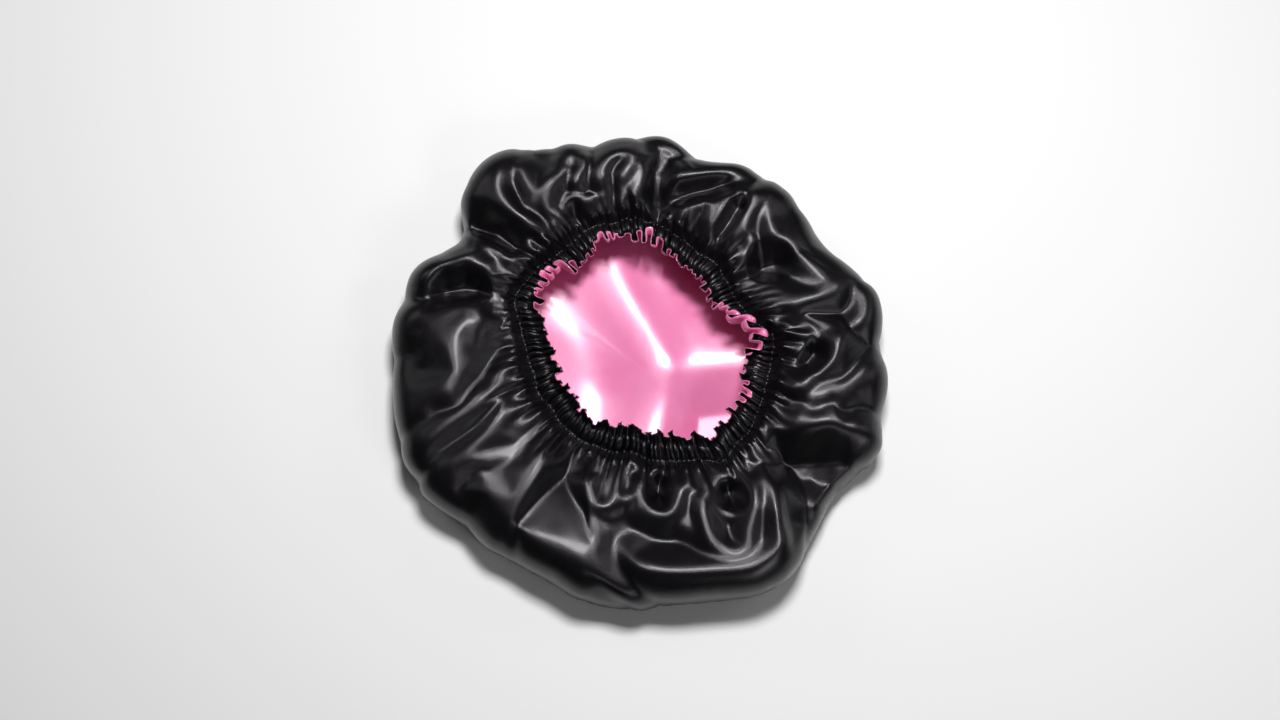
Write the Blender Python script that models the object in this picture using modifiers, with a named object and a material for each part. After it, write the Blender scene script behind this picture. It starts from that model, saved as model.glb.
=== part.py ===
"""Reversible satin sleep bonnet, lying on its crown with the elastic opening up.

Two round cuts of satin, a black shell and a pink lining, are sewn together at the frill edge.
A narrow elastic runs in the channel between them and gathers the cloth round the opening.
Units are metres, +Z is up, and the origin is on the surface under the middle of the outline.
"""

import math

import bmesh
import bpy
import numpy as np

# Cloth and elastic
CLOTH_THICKNESS = 0.0012
LAYER_GAP = 0.0006
ELASTIC_WIDTH = 0.005
ELASTIC_THICKNESS = 0.001

# The crown as it lies
OUTLINE_RADIUS = 0.180
RIM_HEIGHT = 0.031
RIM_ROUND = 0.019
PUFF_RISE = 0.009
FOLD_RISE = 0.011

# The opening
OPENING_RADIUS = 0.076
OPENING_SHIFT_X = 0.0035
OPENING_SHIFT_Y = 0.0145
SEAM_HEIGHT = 0.033
CHANNEL_WIDTH = 0.012
CHANNEL_TILT_DEG = 24.0
FRILL_WIDTH = 0.008
FRILL_TILT_DEG = 52.0

# Gathers: how far the pleats swing at each place
GATHER_COUNT = 34
FRILL_SWING = 0.0028
CHANNEL_SWING = 0.0014
TOP_SWING = 0.0040
# The reach on the top where the pleats have died away
TOP_SWING_SHARE = 0.55

# The lining's soft wrinkles on the floor of the crown
WRINKLE_RISE = 0.006
WRINKLE_WIDTH = 0.020

# Mesh resolution: four columns to a gather near the opening, two in the crown
FINE_COLUMNS = 4 * GATHER_COUNT
COARSE_COLUMNS = FINE_COLUMNS // 2

# Plan outline: angle in degrees from +X, and radius as a share of OUTLINE_RADIUS
OUTLINE = (
    (0, 1.000), (19, 0.998), (33, 0.898), (45, 0.938), (57, 0.968), (72, 0.922),
    (84, 1.012), (93, 0.995), (107, 0.987), (120, 1.070), (136, 1.028), (146, 0.915),
    (157, 0.990), (170, 1.008), (187, 1.006), (205, 1.026), (226, 0.958), (245, 0.940),
    (263, 1.010), (282, 0.994), (305, 1.050), (321, 0.974), (338, 1.018),
)

# Frill edge: angle in degrees about the opening's middle, and radius as a share of OPENING_RADIUS
OPENING = (
    (0, 1.02), (11, 0.89), (28, 0.79), (48, 0.82), (70, 0.91), (90, 1.02), (110, 1.09),
    (132, 1.04), (156, 1.12), (180, 0.98), (203, 0.91), (229, 0.93), (254, 0.91),
    (276, 0.95), (301, 1.15), (322, 1.10), (343, 1.03),
)

# Folds of the top, in order round it. A fold runs from the channel seam (reach 0) towards the rim (reach 1):
# start and end are reaches, angle_in, angle_mid and angle_out place its crest, width is half its spread
# in degrees where it is widest, and rise is a share of FOLD_RISE, below zero for a hollow or a crease.
FOLD_COLUMNS = ("start", "end", "angle_in", "angle_mid", "angle_out", "width", "rise")
FOLDS = (
    (0.00, 0.62, 2, 3, 4, 11, 0.95),
    (0.30, 1.10, 12, 14, 16, 7, 0.60),
    (0.00, 0.55, 21, 21, 22, 5, -0.45),
    (0.12, 0.95, 42, 39, 36, 8, -0.80),
    (0.20, 1.10, 52, 44, 31, 7, 0.60),
    (0.00, 1.05, 58, 58, 58, 6, 0.75),
    (0.00, 0.50, 71, 70, 68, 6, 0.60),
    (0.10, 0.90, 82, 71, 62, 5, -0.55),
    (0.20, 1.10, 86, 80, 74, 7, 0.75),
    (0.05, 1.00, 98, 93, 88, 6, 0.60),
    (0.00, 1.05, 103, 101, 98, 6, 0.65),
    (0.15, 1.10, 113, 111, 107, 5, 0.60),
    (0.00, 0.60, 121, 119, 117, 6, 0.65),
    (0.00, 1.10, 129, 126, 122, 7, 0.95),
    (0.00, 0.70, 139, 141, 140, 6, 0.50),
    (0.30, 1.10, 146, 147, 147, 6, -0.45),
    (0.05, 1.00, 157, 153, 153, 5, 0.55),
    (0.15, 0.90, 161, 161, 162, 6, -0.60),
    (0.05, 0.95, 164, 168, 169, 6, 0.65),
    (0.10, 0.85, 172, 184, 193, 7, 0.75),
    (0.05, 1.10, 188, 199, 205, 5, 0.75),
    (0.15, 0.95, 195, 204, 207, 5, -0.55),
    (0.10, 1.10, 201, 210, 210, 6, 0.65),
    (0.00, 1.10, 224, 230, 234, 6, 0.95),
    (0.05, 0.85, 234, 238, 243, 6, -0.75),
    (0.10, 1.05, 243, 253, 259, 5, -0.65),
    (0.20, 0.95, 262, 265, 270, 7, 0.75),
    (0.45, 0.98, 272, 285, 298, 11, 0.55),
    (0.05, 0.45, 276, 277, 278, 6, -0.45),
    (0.10, 0.85, 288, 291, 294, 6, 0.55),
    (0.10, 1.00, 306, 311, 307, 8, 0.85),
    (0.15, 1.05, 316, 323, 334, 7, -0.80),
    (0.05, 1.10, 334, 337, 343, 6, 0.75),
    (0.20, 1.10, 341, 351, 358, 6, 0.65),
)

# Wrinkles of the lining on the floor, as shares of OPENING_RADIUS from the opening's middle
WRINKLE_COLUMNS = ("from_x", "from_y", "to_x", "to_y", "rise")
WRINKLES = (
    (-0.42, 1.05, 0.16, -0.30, 1.00),
    (-0.12, 0.95, 0.30, -0.10, 0.75),
    (0.16, -0.30, 1.05, -0.24, 0.85),
    (0.14, -0.32, 0.02, -1.30, 0.80),
    (-1.30, -0.20, -0.50, -0.70, 0.50),
)

# Rings of the floor, as shares of the foot's radius; the lining has the inner ones too, with half its columns
FLOOR_RINGS = (0.93, 0.72, 0.50, 0.27)

# Reaches of the rings on the top, from the channel seam outwards; the first ones keep the fine columns
FINE_REACHES = (0.12, 0.30)
COARSE_REACHES = (0.48, 0.67, 0.86)

# Rim rings from the shoulder round to the foot: inset as a share of RIM_ROUND, height as a share of the shoulder's
RIM_RINGS = ((0.38, 1.00), (0.00, 0.50), (0.28, 0.12), (1.00, 0.01))

SATIN_BLACK = (0.010, 0.009, 0.011, 1.0)
SATIN_PINK = (0.86, 0.22, 0.46, 1.0)
ELASTIC_WHITE = (0.80, 0.80, 0.78, 1.0)


def clear_scene():
    """Remove what the startup file holds."""
    for item in list(bpy.data.objects):
        bpy.data.objects.remove(item)


def around(table, angle_deg):
    """Read a closed table of (angle, value) rows with a smooth curve through its points."""
    angles = [row[0] for row in table]
    values = [row[1] for row in table]
    count = len(table)
    after = next((i for i, a in enumerate(angles) if a > angle_deg), 0)
    before = (after - 1) % count
    start = angles[before]
    span = (angles[after] - start) % 360
    share = ((angle_deg - start) % 360) / span
    slope_in = slope_at(angles, values, before) * span
    slope_out = slope_at(angles, values, after) * span
    square, cube = share**2, share**3
    return (
        (2 * cube - 3 * square + 1) * values[before]
        + (cube - 2 * square + share) * slope_in
        + (3 * square - 2 * cube) * values[after]
        + (cube - square) * slope_out
    )


def slope_at(angles, values, index):
    """Slope of the table at one row, from its two neighbours."""
    count = len(angles)
    left, right = (index - 1) % count, (index + 1) % count
    return (values[right] - values[left]) / ((angles[right] - angles[left]) % 360)


def smooth_step(low, high, value):
    """Rise smoothly from 0 at low to 1 at high."""
    share = min(1.0, max(0.0, (value - low) / (high - low)))
    return share * share * (3 - 2 * share)


def bump(distance):
    """A rounded crest: 1 at distance 0 and 0 from distance 1."""
    return (1 + math.cos(math.pi * min(1.0, abs(distance)))) / 2


def angle_between(a, b):
    """Signed difference of two angles in degrees, from -180 to 180."""
    return (a - b + 180) % 360 - 180


def fold_rise(angle_deg, reach):
    """Height that the folds add at one place of the top."""
    total = 0.0
    for row in FOLDS:
        fold = dict(zip(FOLD_COLUMNS, row))
        length = fold["end"] - fold["start"]
        along = (reach - fold["start"]) / length
        if not 0 < along < 1:
            continue
        crest = (
            fold["angle_in"] * (1 - along) * (1 - 2 * along)
            + fold["angle_mid"] * 4 * along * (1 - along)
            + fold["angle_out"] * along * (2 * along - 1)
        )
        spread = fold["width"] * (0.55 + 0.45 * smooth_step(0, 0.5, along))
        swell = smooth_step(0, 0.22, along) * (1 - smooth_step(0.80, 1, along))
        total += fold["rise"] * swell * bump(angle_between(angle_deg, crest) / spread)
    return FOLD_RISE * total


def gather_phase(angle_deg):
    """Phase of the gathers, which crowd and spread a little round the opening."""
    drift = 0.5 * math.sin(math.radians(3 * angle_deg + 20)) + 0.3 * math.sin(math.radians(7 * angle_deg))
    return math.radians(GATHER_COUNT * angle_deg) + drift


def outline_centre():
    """Middle of the plan outline's box, which the origin lies under."""
    angles = [360 * i / COARSE_COLUMNS for i in range(COARSE_COLUMNS)]
    xs = [around(OUTLINE, a) * math.cos(math.radians(a)) for a in angles]
    ys = [around(OUTLINE, a) * math.sin(math.radians(a)) for a in angles]
    return OUTLINE_RADIUS * (max(xs) + min(xs)) / 2, OUTLINE_RADIUS * (max(ys) + min(ys)) / 2


HALF_GAP = LAYER_GAP / 2
MIDDLE_FLOOR = CLOTH_THICKNESS + HALF_GAP
CENTRE_X, CENTRE_Y = outline_centre()
# The channel's sides leave the stitch rows together, so it opens this far to clear the elastic's edges
CHANNEL_LIFT = (ELASTIC_THICKNESS / 2 + LAYER_GAP) / (1 - ELASTIC_WIDTH / CHANNEL_WIDTH)


def polar(radius, angle_deg, height, middle_x, middle_y):
    """A point at a radius and angle from a middle, in the row frame."""
    turn = math.radians(angle_deg)
    return np.array([
        middle_x - CENTRE_X + radius * math.cos(turn),
        middle_y - CENTRE_Y + radius * math.sin(turn),
        height,
    ])


def opening_point(radius, angle_deg, height):
    """A point placed from the opening's middle."""
    return polar(radius, angle_deg, height, OPENING_SHIFT_X, OPENING_SHIFT_Y)


def crown_point(radius, angle_deg, height):
    """A point placed from the outline's middle."""
    return polar(radius, angle_deg, height, 0.0, 0.0)


def channel_ring(angle_deg, share):
    """A point of the channel's middle line: share 0 at its outer stitch row and 1 at its inner one."""
    tilt = math.radians(CHANNEL_TILT_DEG)
    frill_tilt = math.radians(FRILL_TILT_DEG)
    edge = OPENING_RADIUS * around(OPENING, angle_deg)
    outer = edge + FRILL_WIDTH * math.cos(frill_tilt) + CHANNEL_WIDTH * math.cos(tilt)
    step = CHANNEL_WIDTH * share
    return opening_point(outer - step * math.cos(tilt), angle_deg, SEAM_HEIGHT + step * math.sin(tilt))


def frill_edge(angle_deg):
    """The waving top edge of the frill."""
    tilt = math.radians(FRILL_TILT_DEG)
    swing = FRILL_SWING * math.cos(gather_phase(angle_deg))
    root = channel_ring(angle_deg, 1.0)
    outward = np.array([math.cos(math.radians(angle_deg)), math.sin(math.radians(angle_deg)), 0.0])
    upward = np.array([0.0, 0.0, 1.0])
    along = upward * math.sin(tilt) - outward * math.cos(tilt)
    across = outward * math.sin(tilt) + upward * math.cos(tilt)
    return root + along * FRILL_WIDTH + across * swing


def shoulder_height(angle_deg):
    """Height of the rim's shoulder, lifted where a fold runs over it."""
    return RIM_HEIGHT + 0.55 * fold_rise(angle_deg, 0.97)


def top_point(angle_deg, reach):
    """A point of the gathered top between the channel seam and the rim's shoulder."""
    seam = channel_ring(angle_deg, 0.0)
    inset = RIM_RINGS[0][0] * RIM_ROUND
    edge = crown_point(outline_radius(angle_deg) - inset, angle_deg, shoulder_height(angle_deg))
    point = seam * (1 - reach) + edge * reach
    free = smooth_step(0, 0.18, reach) * (1 - smooth_step(0.85, 1, reach))
    pleats = TOP_SWING * math.cos(gather_phase(angle_deg)) * smooth_step(0, 0.12, reach)
    pleats *= 1 - smooth_step(0.12, TOP_SWING_SHARE, reach)
    point[2] += PUFF_RISE * math.sin(math.pi * reach**0.75) + free * fold_rise(angle_deg, reach) + pleats
    return point


def outline_radius(angle_deg):
    """Plan radius of the cloth's middle surface at the widest part of the rim."""
    return OUTLINE_RADIUS * around(OUTLINE, angle_deg) - MIDDLE_FLOOR


def rim_point(angle_deg, inset, height_share):
    """A point of the rolled rim."""
    radius = outline_radius(angle_deg) - inset * RIM_ROUND
    height = MIDDLE_FLOOR + height_share * (shoulder_height(angle_deg) - MIDDLE_FLOOR)
    return crown_point(radius, angle_deg, height)


def wrinkle_rise(point):
    """Height of the lining's wrinkles over the floor at a point."""
    place = np.array([
        point[0] + CENTRE_X - OPENING_SHIFT_X,
        point[1] + CENTRE_Y - OPENING_SHIFT_Y,
    ]) / OPENING_RADIUS
    tallest = 0.0
    for row in WRINKLES:
        wrinkle = dict(zip(WRINKLE_COLUMNS, row))
        start = np.array([wrinkle["from_x"], wrinkle["from_y"]])
        run = np.array([wrinkle["to_x"], wrinkle["to_y"]]) - start
        share = min(1.0, max(0.0, float((place - start) @ run / (run @ run))))
        away = float(np.linalg.norm(place - start - share * run)) * OPENING_RADIUS
        tallest = max(tallest, wrinkle["rise"] * bump(away / WRINKLE_WIDTH))
    return WRINKLE_RISE * tallest


def floor_point(angle_deg, share, side):
    """A point of the floor, at a share of the foot's radius; the lining's is lifted by its wrinkles."""
    point = rim_point(angle_deg, 1.0, 0.0) * share
    point[2] = MIDDLE_FLOOR
    if side < 0:
        point[2] += wrinkle_rise(point)
    return point


def column_angles(count):
    """Angles of the mesh's columns."""
    return [360 * i / count for i in range(count)]


def crown_rings(side):
    """The cloth's rings from the frill edge to the floor, each with the lift that parts the layers there.

    side is 1 for the shell and -1 for the lining, whose pleats in the channel fall between the shell's.
    """
    fine, coarse = column_angles(FINE_COLUMNS), column_angles(COARSE_COLUMNS)
    pleats = [CHANNEL_SWING * (1 + side * math.cos(gather_phase(a))) / 2 for a in fine]
    rings = [
        ([frill_edge(a) for a in fine], [HALF_GAP] * FINE_COLUMNS),
        ([channel_ring(a, 1.0) for a in fine], [HALF_GAP] * FINE_COLUMNS),
        ([channel_ring(a, 0.5) for a in fine], [CHANNEL_LIFT + p for p in pleats]),
        ([channel_ring(a, 0.0) for a in fine], [HALF_GAP] * FINE_COLUMNS),
    ]
    for reach in FINE_REACHES:
        rings.append(([top_point(a, reach) for a in fine], [HALF_GAP] * FINE_COLUMNS))
    for reach in COARSE_REACHES:
        rings.append(([top_point(a, reach) for a in coarse], [HALF_GAP] * COARSE_COLUMNS))
    for inset, height_share in RIM_RINGS:
        rings.append(([rim_point(a, inset, height_share) for a in coarse], [HALF_GAP] * COARSE_COLUMNS))
    floor = [(coarse, FLOOR_RINGS[0])]
    if side < 0:
        floor += [(coarse[::2], share) for share in FLOOR_RINGS[1:]]
    for columns, share in floor:
        ring = [floor_point(a, share, side) for a in columns]
        rings.append((ring, [HALF_GAP] * len(ring)))
    return rings


def join_rings(bm, outer, inner):
    """Faces between two rings of vertices, where the inner one has as many columns or half as many."""
    count, half = len(outer), len(inner) * 2 == len(outer)
    for i in range(count):
        after = (i + 1) % count
        if not half:
            bm.faces.new((outer[i], inner[i], inner[after]))
            bm.faces.new((outer[i], inner[after], outer[after]))
        elif i % 2 == 0:
            near = i // 2
            beyond = (near + 1) % len(inner)
            last = (i + 2) % count
            bm.faces.new((outer[i], inner[near], outer[after]))
            bm.faces.new((outer[after], inner[near], inner[beyond]))
            bm.faces.new((outer[after], inner[beyond], outer[last]))


def cloth_mesh(name, side):
    """Open surface of one cloth layer, where it faces the other layer."""
    bm = bmesh.new()
    rings = crown_rings(side)
    vertices = [[bm.verts.new(point) for point in points] for points, _ in rings]
    for outer, inner in zip(vertices, vertices[1:]):
        join_rings(bm, outer, inner)
    if side > 0:
        bm.faces.new(vertices[-1])
    else:
        middle = bm.verts.new(crown_point(0.0, 0.0, MIDDLE_FLOOR))
        middle.co.z += wrinkle_rise(middle.co)
        last = vertices[-1]
        for vertex, after in zip(last, last[1:] + last[:1]):
            bm.faces.new((vertex, middle, after))
    bmesh.ops.recalc_face_normals(bm, faces=bm.faces)
    bm.normal_update()
    if vertices[-1][0].normal.z > 0:
        bmesh.ops.reverse_faces(bm, faces=bm.faces)
        bm.normal_update()
    moves = [
        (vertex, vertex.normal * vertex.calc_shell_factor() * side * lift)
        for ring, (_, lifts) in zip(vertices, rings)
        for vertex, lift in zip(ring, lifts)
    ]
    for vertex, move in moves:
        vertex.co += move
    mesh = bpy.data.meshes.new(name)
    bm.to_mesh(mesh)
    bm.free()
    return mesh


def satin(name, colour):
    """A satin finish in one colour."""
    material = bpy.data.materials.new(name)
    material.use_nodes = True
    shader = material.node_tree.nodes["Principled BSDF"]
    shader.inputs["Base Color"].default_value = colour
    shader.inputs["Roughness"].default_value = 0.32
    shader.inputs["Metallic"].default_value = 0.0
    shader.inputs["Sheen Weight"].default_value = 0.3
    return material


def elastic_rubber():
    """The plain knitted elastic's finish."""
    material = bpy.data.materials.new("elastic_white")
    material.use_nodes = True
    shader = material.node_tree.nodes["Principled BSDF"]
    shader.inputs["Base Color"].default_value = ELASTIC_WHITE
    shader.inputs["Roughness"].default_value = 0.8
    shader.inputs["Metallic"].default_value = 0.0
    return material


def add_object(name, mesh, material, collection):
    """An object at the origin with its material."""
    item = bpy.data.objects.new(name, mesh)
    item.data.materials.append(material)
    collection.objects.link(item)
    return item


def thicken(item, thickness, offset):
    """Give an open surface its wall."""
    wall = item.modifiers.new("wall", "SOLIDIFY")
    wall.thickness = thickness
    wall.offset = offset
    wall.use_even_offset = True


def build_cloth(name, side, material, collection):
    """One layer of satin, from the frill edge to the middle of the crown."""
    item = add_object(name, cloth_mesh(name, side), material, collection)
    thicken(item, CLOTH_THICKNESS, side)
    item.data.shade_smooth()
    return item


def build_elastic(material, collection):
    """The flat elastic ring in the channel."""
    margin = (1 - ELASTIC_WIDTH / CHANNEL_WIDTH) / 2
    bm = bmesh.new()
    rows = [
        [bm.verts.new(channel_ring(a, share)) for a in column_angles(COARSE_COLUMNS)]
        for share in (margin, 1 - margin)
    ]
    join_rings(bm, rows[1], rows[0])
    mesh = bpy.data.meshes.new("elastic_band")
    bm.to_mesh(mesh)
    bm.free()
    item = add_object("elastic_band", mesh, material, collection)
    thicken(item, ELASTIC_THICKNESS, 0.0)
    return item


def main():
    clear_scene()
    collection = bpy.data.collections.new("sleep_bonnet")
    bpy.context.scene.collection.children.link(collection)
    build_cloth("outer_shell", 1, satin("satin_black", SATIN_BLACK), collection)
    build_cloth("lining", -1, satin("satin_pink", SATIN_PINK), collection)
    build_elastic(elastic_rubber(), collection)


main()
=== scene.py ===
"""A reversible satin sleep bonnet lying on its crown, with its gathered edge facing up, in plain studio light."""

import logging
import math
from dataclasses import dataclass, field
from enum import Enum

import bpy
import numpy as np
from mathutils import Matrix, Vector


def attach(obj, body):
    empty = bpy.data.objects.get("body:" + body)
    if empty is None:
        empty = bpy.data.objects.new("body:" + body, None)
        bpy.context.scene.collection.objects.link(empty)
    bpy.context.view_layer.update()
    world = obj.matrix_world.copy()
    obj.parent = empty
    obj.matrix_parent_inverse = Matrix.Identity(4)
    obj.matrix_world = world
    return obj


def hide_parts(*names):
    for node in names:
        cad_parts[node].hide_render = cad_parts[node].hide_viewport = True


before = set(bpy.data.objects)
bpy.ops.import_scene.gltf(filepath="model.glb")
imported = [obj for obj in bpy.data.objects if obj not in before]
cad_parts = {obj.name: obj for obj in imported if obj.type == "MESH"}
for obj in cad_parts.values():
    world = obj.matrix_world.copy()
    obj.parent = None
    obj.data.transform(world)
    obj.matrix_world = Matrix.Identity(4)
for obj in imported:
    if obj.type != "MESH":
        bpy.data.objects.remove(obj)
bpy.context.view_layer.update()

LOG = logging.getLogger("sleep_bonnet")
Array = np.ndarray


class Relief(Enum):
    """Whether a fold stands up from the cloth or sinks into it."""

    RIDGE = 1.0
    CREASE = -1.0


@dataclass(frozen=True)
class Fold:
    """One fold of the gathered top, in millimetres.

    Its path runs through points in the plane that faces the viewer. Left and right are the widths of its two
    flanks, as seen along the path from above, and crest is the radius of its rounded crest. Taper is the share of
    its length over which each end dies away.
    """

    relief: Relief
    rise: float
    left: float
    right: float
    path: tuple[tuple[float, float], ...]
    crest: float = 5.0
    taper: float = 0.22


@dataclass(frozen=True)
class View:
    """Where the bonnet is looked at from, and where its folds' points are measured from."""

    elevation: float = 75.0
    distance: float = 1.33
    aim: tuple[float, float, float] = (0.0, 0.0041, 0.020)
    below_aim: float = 0.0135

    def back(self) -> Array:
        """Direction from the aim to the viewer."""
        rise = math.radians(self.elevation)
        return np.array([0.0, -math.cos(rise), math.sin(rise)])

    def place(self, points: Array, height: Array) -> Array:
        """Find the points at given heights that are seen at points of the facing plane.

        Args:
            points: points of the facing plane in metres.
            height: height of each place.

        Returns:
            The places.
        """
        back = self.back()
        up = np.array([0.0, back[2], -back[1]])
        viewer = np.array(self.aim) + back * self.distance
        across = points[:, :1] * np.array([1.0, 0.0, 0.0])
        ray = np.array(self.aim) - viewer + across + (points[:, 1:] - self.below_aim) * up
        return viewer + ray * ((height - viewer[2]) / ray[:, 2])[:, None]


VIEW = View()


@dataclass(frozen=True)
class Wrinkle:
    """One soft wrinkle of the lining on the floor of the crown, through points in metres from the origin."""

    rise: float
    left: float
    right: float
    path: tuple[tuple[float, float], ...]


@dataclass(frozen=True)
class Wave:
    """One even wave round the ring: its size, how often it comes and the angle that it starts from, in radians."""

    size: float
    count: int
    start: float = 0.0


@dataclass(frozen=True)
class Flip:
    """A stretch of the frill that leans over the casing and shows its pink side."""

    angle: float
    spread: float
    lean: float


OUTLINE = (
    (0, 1.000), (19, 0.998), (33, 0.898), (45, 0.938), (57, 0.968), (72, 0.922),
    (84, 1.012), (93, 0.995), (107, 0.987), (120, 1.070), (136, 1.028), (146, 0.915),
    (157, 0.990), (170, 1.008), (187, 1.006), (205, 1.026), (226, 0.958), (245, 0.940),
    (263, 1.010), (282, 0.994), (305, 1.050), (321, 0.974), (338, 1.018),
)

OPENING = (
    (0, 1.02), (10, 0.88), (28, 0.78), (48, 0.82), (70, 0.90), (90, 1.02), (107, 1.09),
    (115, 1.06), (132, 1.03), (156, 1.13), (180, 0.97), (203, 0.91), (229, 0.94), (254, 0.91),
    (273, 0.94), (295, 1.07), (303, 1.19), (315, 1.11), (343, 1.03),
)

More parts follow.
